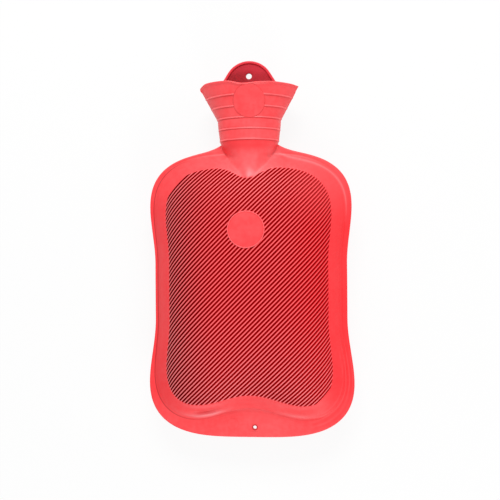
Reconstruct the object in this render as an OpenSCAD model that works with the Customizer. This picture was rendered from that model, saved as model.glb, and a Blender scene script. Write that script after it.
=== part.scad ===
// Rubber hot water bottle, lying on its back with the ribbed front up.
// The origin is the middle of the flat back face. X is the width, +Y runs to
// the mouth, and +Z comes out of the front.

/* [Bladder outline] */
// Half-width of the edge at the waist
waist_half = 92.4; // [86:0.2:98]
// Half-width that the edge swells towards at the shoulders
shoulder_half = 112; // [104:0.5:118]
// Half-width that the edge swells towards at the hips
hip_half = 111.8; // [104:0.2:118]
// Distance from the waist to the top edge
top_reach = 133.6; // [128:0.2:150]
// Distance from the waist to the bottom edge
bottom_reach = 140.4; // [134:0.2:156]
// Straight stretch of each side next to the waist
waist_run = 25; // [10:1:30]
// Length over which each side swells out from the waist
swell_run = 110; // [95:1:120]
// Squareness of the shoulders, where 2 is an ellipse
shoulder_square = 3.5; // [3:0.05:4.5]
// Squareness of the hips, where 2 is an ellipse
hip_square = 3.65; // [3:0.05:4.5]

/* [Flange] */
// Thickness of the flange where the two halves join
flange_t = 3; // [2:0.1:5]
// Width of the flange along the sides
flange_side = 3.8; // [3:0.1:8]
// Width of the flange along the shoulders
flange_top = 2.4; // [2:0.1:8]
// Width of the flange below the two lower lobes
flange_bottom = 7.9; // [5:0.1:14]
// Rounding of the flange's edge
flange_round = 0.8; // [0.3:0.1:0.9]
// How far the flange rises beside the neck
root_swell = 6.7; // [3:0.1:10]
// Length over which it rises
root_run = 11; // [6:0.5:16]

/* [Bladder body] */
// Height of the front above the flange
front_rise = 30; // [22:0.5:36]
// Height of the back below the flange
back_rise = 29; // [26:0.5:36]
// Fullness of the front, where 2 is a dome and 6 is a flat cushion
fullness = 4; // [3:0.5:5]
// Fullness of the back, from its flat to the flange
back_fullness = 2.5; // [2:0.1:3.5]
// Squareness of the cushion's outline, where 2 is an ellipse
foot_square = 3.3; // [3:0.05:4]
// Sideways place of the cushion on the flange
cushion_x = -1; // [-4:0.1:4]
// Share of the back that lies flat on the table
back_flat = 0.35; // [0.25:0.05:0.45]
// Rise of the arch in the lower end
arch_rise = 19.6; // [8:0.2:26]
// Half-width of that arch
arch_half = 45.6; // [30:0.2:56]
// Wall from the bottom of a groove to the water space
wall = 2.5; // [2:0.1:3.5]

/* [Ribbed panel] */
// Distance from one rib to the next
rib_pitch = 3.05; // [2.8:0.05:6]
// Width of a rib's top
rib_land = 1.4; // [1:0.1:2]
// Depth of the grooves
rib_depth = 1.1; // [0.6:0.1:1.4]
// Angle of the ribs to the width of the bottle
rib_angle = 45; // [35:1:55]
// Smooth border between the panel and the flange
border = 13; // [9:0.5:20]
// Smooth border below the panel
border_bottom = 14.5; // [9:0.5:20]
// How far the panel steps down below the neck
notch_drop = 11; // [6:0.5:14]
// Half-width of that step
notch_half = 16.4; // [14:0.2:24]

/* [Round badge] */
// Radius of the bare badge
badge_r = 17; // [10:0.1:24]
// Sideways place of the badge
badge_x = -1.7; // [-20:0.1:20]
// Height of the badge above the waist
badge_y = 58.4; // [30:0.2:75]
// Width of the badge's rim
badge_rim = 1.1; // [0.6:0.1:2]
// Height of the rim and of the plate inside it
badge_rim_h = 0.8; // [0.5:0.1:1.5]
badge_h = 0.3; // [0.1:0.1:0.8]

/* [Neck] */
// Width of the neck beside the shoulders
neck_w = 56; // [50:0.2:60]
// Depth of the neck beside the shoulders
neck_d = 38; // [37:0.5:40]
// Width of the neck where the funnel starts
neck_top_w = 60; // [56:0.2:64]
// Depth of the neck where the funnel starts
neck_top_d = 40.4; // [40:0.2:44]
// Length of the neck from the top edge to the funnel
neck_len = 29.4; // [26:0.2:38]
// Distance of the neck's root below the top edge
neck_root = 28; // [26:1:36]
// Length over which the neck comes out of the body
root_len = 34; // [30:1:36]
// Share of its width and of its depth that the neck has at its root
root_w = 0.2; // [0.1:0.05:0.6]
root_d = 0.66; // [0.5:0.02:0.8]

/* [Funnel] */
// Width of the mouth
mouth_w = 94; // [84:1:104]
// Depth of the mouth
mouth_d = 60; // [58:0.5:64]
// Length of the funnel
funnel_len = 31.6; // [28:0.2:36]
// Wall of the funnel at the lip
lip_wall = 3; // [2:0.1:3.5]
// Wall of the funnel at the corners of its mouth
corner_wall = 3.6; // [3:0.1:5]
// Bevel of the lip
lip_bevel = 0.8; // [0.4:0.1:1]
// How pointed the corners of the mouth are, where 0.5 is an oval
mouth_point = 0.85; // [0.5:0.05:1]
// Number of raised rings
ring_count = 5; // [0:1:5]
// Distance from one ring to the next
ring_gap = 10.2; // [9:0.1:11]
// Height of a ring
ring_h = 0.8; // [0.4:0.1:1.4]
// Half-width of a ring
ring_half = 1; // [0.6:0.1:1.8]
// Radius of the bare disc on the funnel
disc_r = 14.5; // [10:0.1:16]
// Sideways place of that disc
disc_x = 1.2; // [-3:0.1:3]

/* [Hanging hole] */
// Diameter of the hole in the lower flange
hang_d = 3.5; // [2.5:0.1:6]
// Distance of the hole from the bottom edge
hang_inset = 9.6; // [7:0.1:14]
// Sideways place of the hole
hang_x = 3.4; // [-10:0.1:10]

/* [Neck insert] */
// Outer diameter of the insert
insert_d = 30; // [28:0.5:31]
// Length of the insert
insert_len = 22; // [18:0.5:24]
// Diameter of the rib that holds the insert in the rubber
insert_rib_d = 33; // [32:0.5:34]
// Width of that rib
insert_rib_w = 2.4; // [1.5:0.1:4]
// Ledge in the funnel round the top of the insert
seat_ledge = 1; // [0.5:0.1:2]

/* [Stopper] */
// Diameter of the screwed shank
shank_d = 21.8; // [18:0.1:23]
// Length of the shank below the collar
shank_len = 20; // [14:0.5:23]
// Wall of the hollow shank
shank_wall = 3.5; // [2.5:0.1:5]
// Diameter of the collar
collar_d = 27; // [25:0.5:29]
// Thickness of the collar
collar_t = 3; // [2:0.1:4]
// Depth of the hollow's closed end below the collar
shank_floor = 4; // [3:0.5:6]
// Radius of the round handle
handle_r = 23.6; // [21:0.1:24]
// Height of the handle's centre above the collar
handle_up = 31.4; // [29:0.1:33]
// Half-width of the handle over the lobes at its sides
lobe_half = 27; // [25:0.1:28]
// Radius of those lobes
lobe_r = 5; // [3:0.5:8]
// Thickness of the handle's rim
handle_t = 5; // [4:0.1:6]
// Width of the handle's rim
handle_rim = 2.6; // [2:0.1:4]
// Thickness of the handle inside its rim
web_t = 2.6; // [1.5:0.1:3.6]
// Half-width of the stem below the handle
stem_half = 11; // [8:0.5:12.5]
// Diameter of the eye in the handle
eye_d = 5.6; // [4:0.1:8]
// Distance from the centre of the handle to its eye
eye_up = 9.2; // [7:0.1:14]
// Play between the shank and the bore
screw_play = 0.3; // [0.2:0.05:0.5]

/* [Sealing washer] */
// Thickness of the washer
washer_t = 2.5; // [1.5:0.1:3.5]
// Outer diameter of the washer
washer_d = 28; // [25:0.5:30]

/* [Hidden] */

// Height of the parting plane, at which the flange lies
mid_z = back_rise + flange_t / 2;
// Sides of the bladder's rings, of its water space and of the neck
around = 84;
around_inside = 36;
neck_sides = 36;
// Straight pieces along each rib, and steps taken when a curve is solved
rib_steps = 6;
halvings = 14;
thirds = 18;
// Radius outside every outline, and the distance from the middle, along a rib
// and across the ribs, that is searched for the panel
far_out = 280;
rib_scan = 180;
// Run over which a groove's end sinks to its depth, as a length and as a
// share of the rib, and the level up to which the panel has ribs
groove_lead = 1.2;
lead_share = 0.2;
rib_until = 0.985;
// Gain and power of the front's slope in the crowding of the ribs
crowding = 0.8;
crowding_power = 6;
// Levels at which the back and the water space have their rings, and places
// of the border's rings between the flange, at 0, and the panel, at 1
back_levels = [back_flat, 0.56, 0.72, 0.84, 0.93, 1];
border_shares = [0, 0.22, 0.5, 0.82];
space_levels = [0.35, 0.65, 0.83, 0.94];
// Level at which the water space closes at the parting plane, and the level
// at which its front and back would meet the plane
space_end = 0.985;
space_full = 0.97;
// Depth to which a bare disc is set into the surface, its sides, and the
// shares of its radius at which its face has rings
boss_depth = 2;
boss_sides = 32;
boss_shares = [0.75, 0.5, 0.02];
// Steps of the neck out of the body and of the hollow funnel
root_shares = [0, 0.2, 0.4, 0.6, 0.8, 1];
funnel_steps = [0, 0.25, 0.6, 1];
// Half-width and half-depth of the water space at the start of the throat,
// and the length over which it narrows to the throat
throat_start = [22, 10.5];
throat_lead = 14;
// Throat over the bore, and the pilot hole under it that opens the funnel
throat_over = 0.8;
pilot_under = 1;
// Drop of the insert's seat below the start of the funnel, rise of the middle
// ring over that start, and steps of the rings from the first one to the disc
seat_drop = 3;
ring_up = 0.8;
disc_rings = 3.4;
// Overlap of a cut past the face that it opens
past = 1;

// Places along the neck, from its root to the lip
root_y = top_reach - neck_root;
kink_y = top_reach + neck_len;
lip_y = kink_y + funnel_len;
seat_y = kink_y - seat_drop;
insert_y = seat_y - insert_len;
first_ring_y = kink_y + ring_up - (ring_count - 1) / 2 * ring_gap;
disc_y = first_ring_y + disc_rings * ring_gap;
collar_y = seat_y + washer_t;
handle_y = collar_y + collar_t + handle_up;
bore_d = shank_d + 2 * screw_play;

function mix(a, b, t) = a + (b - a) * t;
function clamp(t) = min(1, max(0, t));
function ease(t) = let (c = clamp(t)) c * c * (3 - 2 * c);
function bell(x, half) = exp(-x * x / (half * half));
function squarish(x, y, a, b, n) = pow(pow(abs(x) / a, n) + pow(abs(y) / b, n), 1 / n);

// Half-width of the edge at a height above or below the waist
function side(y) =
    let (swell = ease((abs(y) - waist_run) / swell_run))
    mix(waist_half, y > 0 ? shoulder_half : hip_half, swell);
function squareness(y) = y > 0 ? shoulder_square : hip_square;
function foot_low(x) = bottom_reach - flange_bottom - arch_rise * bell(x, arch_half);

// Each of these is 0 at the middle and 1 on its own outline
edge_level = function (x, y)
    let (top = top_reach + root_swell * exp(-max(0, abs(x) - neck_w / 2) / root_run))
    squarish(x, y, side(y), y > 0 ? top : bottom_reach, squareness(y));
foot_level = function (x, y)
    let (across = x - cushion_x)
    squarish(across, y, side(y) - flange_side,
        y > 0 ? top_reach - flange_top : foot_low(across), foot_square);
panel_level = function (x, y)
    let (across = x - cushion_x,
         high = top_reach - flange_top - border - notch_drop * bell(across, notch_half))
    squarish(across, y, side(y) - flange_side - border,
        y > 0 ? high : foot_low(across) - border_bottom, squareness(y));

// Distance from the middle, in a direction, at which a level is reached
function reach(level, angle, goal, near = 0, far = far_out, left = halvings) =
    left == 0 ? (near + far) / 2 :
    let (r = (near + far) / 2, inside = level(r * cos(angle), r * sin(angle)) < goal)
    reach(level, angle, goal, inside ? r : near, inside ? far : r, left - 1);

// Directions of the points of a ring, spread evenly along an oval
function directions(count) =
    [for (i = [0 : count - 1]) let (t = 360 * i / count)
        atan2(bottom_reach * sin(t), waist_half * cos(t))];

// Surfaces of the bladder over the parting plane
function front_z(x, y) =
    mid_z + flange_t / 2 + front_rise * (1 - pow(min(1, foot_level(x, y)), fullness));
function back_fall(level) = pow(clamp((level - back_flat) / (1 - back_flat)), back_fullness);
function back_z(level) = mid_z - flange_t / 2 - back_rise * (1 - back_fall(level));

// Triangles of a closed skin through rings that have the same number of points
function loft_faces(rings, sides) =
    let (last = (rings - 1) * sides)
    concat(
        [[for (i = [0 : sides - 1]) i]],
        [for (k = [0 : rings - 2], i = [0 : sides - 1])
            let (j = (i + 1) % sides, a = k * sides)
            for (half = [0, 1])
                half == 0 ? [a + i, a + sides + i, a + sides + j] : [a + i, a + sides + j, a + j]],
        [[for (i = [sides - 1 : -1 : 0]) last + i]]
    );
module loft(rings) {
    sides = len(rings[0]);
    points = [for (ring = rings) for (p = ring) p];
    polyhedron(points, loft_faces(len(rings), sides), convexity = 8);
}

// Ring of the bladder's skin, from its distances and its height at each point
function ring_at(dirs, radii, height) =
    [for (i = [0 : len(dirs) - 1])
        let (x = radii[i] * cos(dirs[i]), y = radii[i] * sin(dirs[i])) [x, y, height(x, y)]];
function level_ring(dirs, goal, height) =
    ring_at(dirs, [for (a = dirs) reach(foot_level, a, goal)], height);

// Plan of a point of the panel as it was before the front bulged out: the
// ribs run straight there, and crowd together where the front slopes away
function bulged(v, reach_v) =
    v * (1 - crowding * pow(front_rise / reach_v, 2)
        * pow(min(1, abs(v) / reach_v), crowding_power));
function rib_point(u, across) =
    [bulged(u * cos(rib_angle) - across * sin(rib_angle), waist_half - flange_side),
     bulged(u * sin(rib_angle) + across * cos(rib_angle), top_reach - flange_top)];
function rib_level(u, across) = let (p = rib_point(u, across)) panel_level(p.x, p.y);

// Deepest point of a rib's line in the panel, then the ends of the line
function rib_middle(across, low = -rib_scan, high = rib_scan, left = thirds) =
    left == 0 ? (low + high) / 2 :
    let (a = mix(low, high, 1 / 3), b = mix(low, high, 2 / 3))
    rib_level(a, across) < rib_level(b, across) ?
        rib_middle(across, low, b, left - 1) : rib_middle(across, a, high, left - 1);
function rib_end(across, inner, outer, left = halvings) =
    left == 0 ? (inner + outer) / 2 :
    let (u = (inner + outer) / 2)
    rib_level(u, across) < 1 ?
        rib_end(across, u, outer, left - 1) : rib_end(across, inner, u, left - 1);

// Points along one line of the ribbing. Both ends lie on the border, and a
// groove reaches its depth a short way in from them.
function rib_at(u, across, drop) =
    let (p = rib_point(u, across)) [p.x, p.y, front_z(p.x, p.y) - drop];
function rib_line(across, drop) =
    let (middle = rib_middle(across),
         low = rib_end(across, middle, middle - far_out),
         high = rib_end(across, middle, middle + far_out),
         lead = min(groove_lead, (high - low) * lead_share))
    concat(
        [rib_at(low, across, 0)],
        [for (i = [0 : rib_steps])
            rib_at(mix(low + lead, high - lead, (1 - cos(180 * i / rib_steps)) / 2), across, drop)],
        [rib_at(high, across, 0)]
    );

// Ribs from the middle of the panel to one of its corners
function rib_count(way) =
    let (spread = max([for (i = [0 : 1 : rib_scan])
             rib_level(rib_middle(way * i), way * i) < rib_until ? i : 0]))
    floor(spread / rib_pitch);

// Lines of the ribbing from one corner of the panel to the other: each rib is
// a flat land with a V groove beside it
function rib_rows() =
    let (last = rib_count(1))
    concat(
        [for (i = [-rib_count(-1) : last - 1])
            for (part = [[0, 0], [rib_land, 0], [(rib_pitch + rib_land) / 2, rib_depth]])
                rib_line(i * rib_pitch + part[0], part[1])],
        [rib_line(last * rib_pitch, 0)]
    );

// The places in the rows that make up the outline of the ribbing, in turn
function rib_outline(rows, cols) = concat(
    [for (i = [0 : rows - 1]) i * cols + cols - 1],
    [for (j = [cols - 2 : -1 : 1]) (rows - 1) * cols + j],
    [for (i = [rows - 1 : -1 : 0]) i * cols],
    [for (j = [1 : cols - 2]) j]
);

function bearing(p, start) = let (a = atan2(p.y, p.x) - start) a < 0 ? a + 360 : a;
// A list in which no value is lower than one before it, or higher than the top
function rising(list, top) =
    [for (i = 0, v = list[0]; i < len(list);
          i = i + 1, v = min(top, max(v, list[min(i, len(list) - 1)]))) v];

// Triangles between a ring and a finer outline inside it. Each edge of the
// outline joins the ring's nearest point, and the ring's edges fill the gaps.
function joining_faces(points, ring, outline) =
    let (n = len(ring), m = len(outline),
         start = atan2(points[outline[0]].y, points[outline[0]].x),
         inner = [for (v = outline) bearing(points[v], start)],
         outer = [for (v = ring) bearing(points[v], start)],
         first = [for (i = [0 : n - 1]) if (outer[i] == min(outer)) i][0],
         turned = [for (k = [0 : n]) k < n ? outer[(first + k) % n] : outer[first] + 360],
         halfway = [for (k = [0 : n - 1]) (turned[k] + turned[k + 1]) / 2],
         passed = [for (i = [0 : m - 1])
             let (a = (inner[i] + (i + 1 < m ? inner[i + 1] : 360)) / 2)
             len([for (h = halfway) if (h < a) h]) - (a < halfway[n - 1] - 360 ? 1 : 0)],
         nearest = rising(passed, passed[0] + n))
    concat(
        [for (i = [0 : m - 1])
            [outline[i], outline[(i + 1) % m], ring[(first + nearest[i] + n) % n]]],
        [for (i = [0 : m - 1])
            let (to = i + 1 < m ? nearest[i + 1] : nearest[0] + n)
            for (k = [nearest[i] : 1 : to - 1])
                [ring[(first + k + 1 + n) % n], ring[(first + k + n) % n], outline[(i + 1) % m]]]
    );

// Both walls, the flange and the ribbed panel as one closed skin
module skin() {
    dirs = directions(around);
    edge = [for (a = dirs) reach(edge_level, a, 1)];
    foot = [for (a = dirs) reach(foot_level, a, 1)];
    panel = [for (a = dirs) reach(panel_level, a, 1)];
    low_z = mid_z - flange_t / 2;
    high_z = mid_z + flange_t / 2;
    back = [for (level = back_levels)
        level_ring(dirs, level, function (x, y) back_z(level))];
    rim = [for (step = [[flange_round, low_z], [0, low_z + flange_round],
                        [0, high_z - flange_round], [flange_round, high_z]])
        ring_at(dirs, [for (r = edge) r - step[0]], function (x, y) step[1])];
    rise = [for (t = border_shares)
        ring_at(dirs, [for (i = [0 : around - 1]) mix(foot[i], panel[i], t)],
            function (x, y) front_z(x, y))];
    rings = concat(back, rim, rise);
    ring_points = [for (ring = rings) for (p = ring) p];
    rows = rib_rows();
    cols = len(rows[0]);
    base = len(ring_points);
    points = concat(ring_points, [for (row = rows) for (p = row) p]);
    sides = loft_faces(len(rings), around);
    faces = concat(
        [for (i = [0 : len(sides) - 2]) sides[i]],
        joining_faces(points, [for (i = [0 : around - 1]) base - around + i],
            [for (v = rib_outline(len(rows), cols)) base + v]),
        [for (i = [0 : len(rows) - 2], j = [0 : cols - 2])
            let (a = base + i * cols + j, b = a + cols)
            for (f = [[a, b + 1, a + 1], [a, b, b + 1]]) f]
    );
    polyhedron(points, faces, convexity = 20);
}

// Bare disc that follows a surface, with a raised rim where rim is above 0
module boss(centre, radius, height_at, lift, rim, rim_lift) {
    edge = rim > 0 ?
        [[radius, -boss_depth], [radius, rim_lift], [radius - rim, rim_lift]] :
        [[radius, -boss_depth], [radius, lift]];
    inside = radius - rim;
    circles = concat(edge, rim > 0 ? [[inside, lift]] : [],
        [for (share = boss_shares) [share * inside, lift]]);
    rings = [for (c = circles)
        [for (i = [0 : boss_sides - 1])
            let (a = 360 * i / boss_sides,
                 x = centre.x + c[0] * cos(a), y = centre.y + c[0] * sin(a))
            [x, y, height_at(x, y) + c[1]]]];
    loft(rings);
}

// Outside of the neck and the funnel at a height
oval = 0.5;
function funnel_share(y) = clamp((y - kink_y) / funnel_len);
function neck_share(y) = ease((y - root_y - root_len) / (kink_y - root_y - root_len));
function root_share(y) = clamp((y - root_y) / root_len);
function outer_w(y) =
    y < kink_y ? mix(neck_w, neck_top_w, neck_share(y)) / 2 * mix(root_w, 1, root_share(y))
    : mix(neck_top_w, mouth_w, funnel_share(y)) / 2;
function outer_d(y) =
    y < kink_y ? mix(neck_d, neck_top_d, neck_share(y)) / 2 * mix(root_d, 1, ease(root_share(y)))
    : mix(neck_top_d, mouth_d, funnel_share(y)) / 2;
function pointing(y) = mix(oval, mouth_point, funnel_share(y));
function neck_section(y, w, d, point) =
    [for (i = [0 : neck_sides - 1])
        let (a = 360 * i / neck_sides, s = sin(a))
        [w * cos(a), y, mid_z - d * sign(s) * pow(abs(s), 2 * point)]];
function neck_front_z(x, y) =
    mid_z + outer_d(y) * pow(max(0, 1 - pow(x / outer_w(y), 2)), pointing(y));

// Neck and funnel as one solid form, with a bead at each ring
module neck_outside() {
    root = [for (t = root_shares) [root_y + t * root_len, 0]];
    beads = ring_count == 0 ? [] : [for (i = [0 : ring_count - 1])
        let (y = first_ring_y + i * ring_gap)
        for (part = [[-ring_half, 0], [0, ring_h], [ring_half, 0]]) [y + part[0], part[1]]];
    mouth = [[lip_y - lip_bevel, 0], [lip_y, -lip_bevel]];
    stations = concat(root, beads, mouth);
    loft([for (s = stations)
        neck_section(s[0], outer_w(s[0]) + s[1], outer_d(s[0]) + s[1], pointing(s[0]))]);
}

// Hollow of the funnel, down to the top of the insert
module funnel_hollow() {
    floor_r = insert_d / 2 + seat_ledge;
    wide = mouth_w / 2 - corner_wall;
    deep = mouth_d / 2 - lip_wall;
    loft(concat(
        [for (t = funnel_steps)
            neck_section(mix(seat_y, lip_y - lip_bevel, t),
                mix(floor_r, wide, t), mix(floor_r, deep, t), mix(oval, mouth_point, t))],
        [for (y = [lip_y, lip_y + past])
            neck_section(y, wide + lip_bevel, deep + lip_bevel, mouth_point)]));
}

// Water space, and the throat that leads from it to the insert
module water_space() {
    dirs = directions(around_inside);
    front_in = front_rise + flange_t / 2 - wall - rib_depth;
    back_in = back_rise + flange_t / 2 - wall;
    back = [for (level = space_levels)
        level_ring(dirs, level, function (x, y)
            mid_z - back_in * (1 - back_fall(level / space_full)))];
    middle = [level_ring(dirs, space_end, function (x, y) mid_z)];
    front = [for (i = [len(space_levels) - 1 : -1 : 0])
        level_ring(dirs, space_levels[i], function (x, y)
            mid_z + front_in * (1 - pow(min(1, space_levels[i] / space_full), fullness)))];
    loft(concat(back, middle, front));
    throat_r = bore_d / 2 + throat_over;
    pilot_r = bore_d / 2 - pilot_under;
    start_w = throat_start.x;
    start_d = throat_start.y;
    loft([for (s = [[root_y - throat_lead, start_w, start_d],
                    [root_y + 2 * past, start_w, start_d],
                    [root_y + throat_lead + 2 * past, throat_r, throat_r],
                    [insert_y - 2 * past, throat_r, throat_r],
                    [insert_y - 2 * past, pilot_r, pilot_r],
                    [seat_y + past, pilot_r, pilot_r]])
        neck_section(s[0], s[1], s[2], oval)]);
}

// Cylinder along the neck, between two heights
module along_neck(diameter, low, high) {
    translate([0, low, mid_z]) rotate([-90, 0, 0])
        cylinder(d = diameter, h = high - low, $fn = 64);
}

// Outside of the insert, which is also the seat for it in the rubber
module insert_form() {
    along_neck(insert_d, insert_y, seat_y);
    along_neck(insert_rib_d, insert_y + (insert_len - insert_rib_w) / 2,
        insert_y + (insert_len + insert_rib_w) / 2);
}

// One rubber moulding: both walls, flange, ribs, neck, rings and funnel
module bladder() {
    color([0.93, 0.27, 0.29])
        difference() {
            resize([0, 0, 0]) difference() {
                union() {
                    skin();
                    boss([badge_x, badge_y], badge_r, function (x, y) front_z(x, y),
                        badge_h, badge_rim, badge_rim_h);
                    neck_outside();
                    boss([disc_x, disc_y], disc_r, function (x, y) neck_front_z(x, y),
                        ring_h, 0, 0);
                }
                water_space();
                funnel_hollow();
            }
            insert_form();
            along_neck(bore_d, insert_y - 3 * past, insert_y + past);
            translate([hang_x, hang_inset - bottom_reach, mid_z - flange_t])
                cylinder(d = hang_d, h = 2 * flange_t, $fn = 32);
        }
}

// Threaded bush that is moulded into the neck
module neck_insert() {
    color([0.85, 0.83, 0.78])
        difference() {
            insert_form();
            along_neck(bore_d, insert_y - past, seat_y + past);
        }
}

// Rubber ring between the collar and the insert
module sealing_washer() {
    color([0.25, 0.25, 0.26])
        difference() {
            along_neck(washer_d, seat_y, collar_y);
            along_neck(shank_d + screw_play, seat_y - past, collar_y + past);
        }
}

// Plan of the handle and its stem
module handle_plan(inset) {
    hull() {
        translate([0, handle_y]) circle(handle_r - inset, $fn = 96);
        for (s = [-1, 1])
            translate([s * (lobe_half - lobe_r), handle_y]) circle(lobe_r - inset, $fn = 32);
    }
    translate([inset - stem_half, collar_y + collar_t / 2])
        square([2 * (stem_half - inset), handle_up]);
}

// Screw stopper: hollow shank, collar, and a flat rimmed handle with an eye
module stopper() {
    color([0.69, 0.13, 0.2])
        difference() {
            union() {
                along_neck(shank_d, collar_y - shank_len, collar_y + collar_t / 2);
                along_neck(collar_d, collar_y, collar_y + collar_t);
                translate([0, 0, mid_z - web_t / 2]) linear_extrude(web_t) handle_plan(0);
                translate([0, 0, mid_z - handle_t / 2]) linear_extrude(handle_t)
                    difference() {
                        handle_plan(0);
                        handle_plan(handle_rim);
                    }
            }
            along_neck(shank_d - 2 * shank_wall, collar_y - shank_len - past,
                collar_y - shank_floor);
            translate([0, handle_y + eye_up, mid_z - handle_t])
                cylinder(d = eye_d, h = 2 * handle_t, $fn = 32);
        }
}

bladder();
neck_insert();
sealing_washer();
stopper();
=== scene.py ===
import math

import bmesh
import bpy
import numpy as np
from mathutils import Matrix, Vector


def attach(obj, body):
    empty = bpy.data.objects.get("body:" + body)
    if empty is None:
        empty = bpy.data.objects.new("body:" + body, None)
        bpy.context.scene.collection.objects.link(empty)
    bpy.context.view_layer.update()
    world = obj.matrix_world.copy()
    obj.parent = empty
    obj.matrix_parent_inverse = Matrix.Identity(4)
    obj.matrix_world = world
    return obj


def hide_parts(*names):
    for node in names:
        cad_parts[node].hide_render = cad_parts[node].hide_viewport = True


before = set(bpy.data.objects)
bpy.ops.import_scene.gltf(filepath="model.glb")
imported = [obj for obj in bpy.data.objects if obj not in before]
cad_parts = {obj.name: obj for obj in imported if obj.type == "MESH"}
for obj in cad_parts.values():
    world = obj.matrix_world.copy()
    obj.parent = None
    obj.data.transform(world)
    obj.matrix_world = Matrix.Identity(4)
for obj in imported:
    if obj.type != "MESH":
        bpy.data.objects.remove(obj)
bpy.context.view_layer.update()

# Outline of the bladder. The real one is a single rubber moulding, vulcanised in two half
# moulds that meet at the flange. All sizes below are in millimetres from the middle of its
# flat back, and MM turns them into the frame's metres.
MM = 0.001
WAIST_HALF, SHOULDER_HALF, HIP_HALF = 92.4, 112.0, 111.8
TOP_REACH, BOTTOM_REACH = 133.6, 140.4
WAIST_RUN, SWELL_RUN = 25.0, 110.0
SHOULDER_SQUARE, HIP_SQUARE, FOOT_SQUARE = 3.5, 3.65, 3.3
FLANGE_SIDE, FLANGE_TOP, FLANGE_BOTTOM = 3.8, 2.4, 7.9
ROOT_SWELL, ROOT_RUN, NECK_W = 6.7, 11.0, 56.0
CUSHION_X = -1.0
ARCH_RISE, ARCH_HALF = 19.6, 45.6
BORDER, BORDER_BOTTOM, NOTCH_DROP, NOTCH_HALF = 13.0, 14.5, 11.0, 16.4
SEARCH_FAR, SEARCH_STEPS = 260.0, 40


def mix(a, b, t):
    return a + (b - a) * t


def ease(t):
    c = np.clip(t, 0.0, 1.0)
    return c * c * (3 - 2 * c)


def bell(x, half):
    return np.exp(-((x / half) ** 2))


def squarish(x, y, a, b, n):
    return ((np.abs(x) / a) ** n + (np.abs(y) / b) ** n) ** (1 / n)


def side(y):
    swell = ease((np.abs(y) - WAIST_RUN) / SWELL_RUN)
    return mix(WAIST_HALF, np.where(y > 0, SHOULDER_HALF, HIP_HALF), swell)


def squareness(y):
    return np.where(y > 0, SHOULDER_SQUARE, HIP_SQUARE)


def edge_level(x, y):
    top = TOP_REACH + ROOT_SWELL * np.exp(-np.maximum(0, np.abs(x) - NECK_W / 2) / ROOT_RUN)
    return squarish(x, y, side(y), np.where(y > 0, top, BOTTOM_REACH), squareness(y))


def foot_low(x):
    return BOTTOM_REACH - FLANGE_BOTTOM - ARCH_RISE * bell(x, ARCH_HALF)


def foot_level(x, y):
    high, low = TOP_REACH - FLANGE_TOP, foot_low(x - CUSHION_X)
    return squarish(x - CUSHION_X, y, side(y) - FLANGE_SIDE, np.where(y > 0, high, low),
                    FOOT_SQUARE)


def panel_level(x, y):
    low = foot_low(x - CUSHION_X) - BORDER_BOTTOM
    high = TOP_REACH - FLANGE_TOP - BORDER - NOTCH_DROP * bell(x - CUSHION_X, NOTCH_HALF)
    return squarish(x - CUSHION_X, y, side(y) - FLANGE_SIDE - BORDER, np.where(y > 0, high, low),
                    squareness(y))


def reach(level, angles):
    """Distance from the middle at which a level is 1, in each direction."""
    near, far = np.zeros_like(angles), np.full_like(angles, SEARCH_FAR)
    for _ in range(SEARCH_STEPS):
        r = (near + far) / 2
        inside = level(r * np.cos(angles), r * np.sin(angles)) < 1
        near, far = np.where(inside, r, near), np.where(inside, far, r)
    return (near + far) / 2


# Neck and funnel, moulded in one with the walls. The neck is an oval that grows out of the
# front and back as a wedge, and the funnel flares from it to a lens-shaped mouth.
NECK_D, NECK_TOP_W, NECK_TOP_D = 38.0, 60.0, 40.4
NECK_LEN, NECK_ROOT, ROOT_LEN, ROOT_W, ROOT_D = 29.4, 28.0, 34.0, 0.2, 0.66
MOUTH_W, MOUTH_D, FUNNEL_LEN = 94.0, 60.0, 31.6
LIP_WALL, OVAL, MOUTH_POINT, ROOT_POINT = 3.0, 0.5, 0.85, 0.95
ROOT_SHOULDER, FALL = 0.14, 60
ROOT_Y = TOP_REACH - NECK_ROOT
KINK_Y = TOP_REACH + NECK_LEN
LIP_Y = KINK_Y + FUNNEL_LEN
SEAT_Y = KINK_Y - 3
corner_share = NECK_W / 2 / float(side(np.array(TOP_REACH + ROOT_SWELL)))
CORNER_Y = (TOP_REACH + ROOT_SWELL) * (1 - corner_share**SHOULDER_SQUARE) ** (1 / SHOULDER_SQUARE)


def blunt_max(a, b, k):
    """The larger of two heights, with the crease between them rounded off over k."""
    k = np.maximum(k, 1e-6)
    near = np.clip(1 - np.abs(a - b) / k, 0.0, 1.0)
    return np.maximum(a, b) + near * near * k / 4


def funnel_share(y):
    return np.clip((y - KINK_Y) / FUNNEL_LEN, 0.0, 1.0)


def neck_share(y):
    return ease((y - ROOT_Y - ROOT_LEN) / (KINK_Y - ROOT_Y - ROOT_LEN))


def root_share(y):
    return np.clip((y - ROOT_Y) / ROOT_LEN, 0.0, 1.0)


def outer_w(y):
    rooted = 1 - blunt_max(1 - mix(ROOT_W, 1, (y - ROOT_Y) / ROOT_LEN), 0.0,
                           ROOT_SHOULDER)
    neck = mix(NECK_W, NECK_TOP_W, neck_share(y)) / 2 * np.maximum(rooted, ROOT_W)
    return np.where(y < KINK_Y, neck, mix(NECK_TOP_W, MOUTH_W, funnel_share(y)) / 2)


def outer_d(y):
    neck = mix(NECK_D, NECK_TOP_D, neck_share(y)) / 2 * mix(ROOT_D, 1, ease(root_share(y)))
    return np.where(y < KINK_Y, neck, mix(NECK_TOP_D, MOUTH_D, funnel_share(y)) / 2)


def pointing(y):
    return mix(OVAL, MOUTH_POINT, funnel_share(y))


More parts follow.
